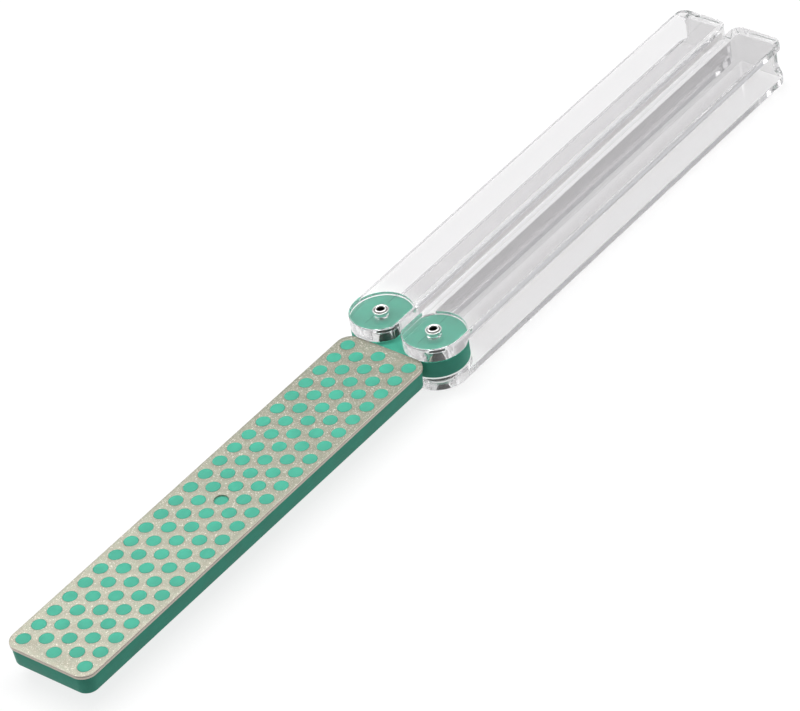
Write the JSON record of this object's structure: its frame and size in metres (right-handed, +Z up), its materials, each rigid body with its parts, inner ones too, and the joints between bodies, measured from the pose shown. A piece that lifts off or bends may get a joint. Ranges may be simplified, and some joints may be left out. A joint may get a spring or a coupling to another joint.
{
  "type": "folding diamond sharpening hone",
  "caption": "Flat perforated diamond hone with two clear channel handles that swing out in line as a grip, or fold over the hone as its case.",
  "frame": {"origin": "under the middle of the open tool, at the level of the handles' undersides", "axes": "+X from the hone's tip towards the far ends of the open handles, +Y towards the left handle, +Z up out of the diamond face"},
  "size_m": [0.2396, 0.0282, 0.0115],
  "materials": {
    "body_plastic": "satin moulded plastic, sea green",
    "diamond_plate": "nickel plating full of fine diamond grit, warm grey and sparkling",
    "clear_plastic": "clear moulded plastic, polished",
    "rivet_metal": "bright plated"
  },
  "bodies": {
    "hone": {"hone_body": "body_plastic", "diamond_plate": "diamond_plate", "left_pivot_rivet": "rivet_metal", "right_pivot_rivet": "rivet_metal"},
    "left_handle": {"left_handle": "clear_plastic"},
    "right_handle": {"right_handle": "clear_plastic"}
  },
  "joints": [
    {"name": "left_handle_pivot", "type": "hinge", "parent": "hone", "child": "left_handle", "pos_m": [-0.00128, 0.00714, 0.0056], "axis": [0, 0, 1], "range_deg": [0, 180]},
    {"name": "right_handle_pivot", "type": "hinge", "parent": "hone", "child": "right_handle", "pos_m": [-0.00128, -0.00714, 0.0056], "axis": [0, 0, 1], "range_deg": [-180, 0]}
  ]
}
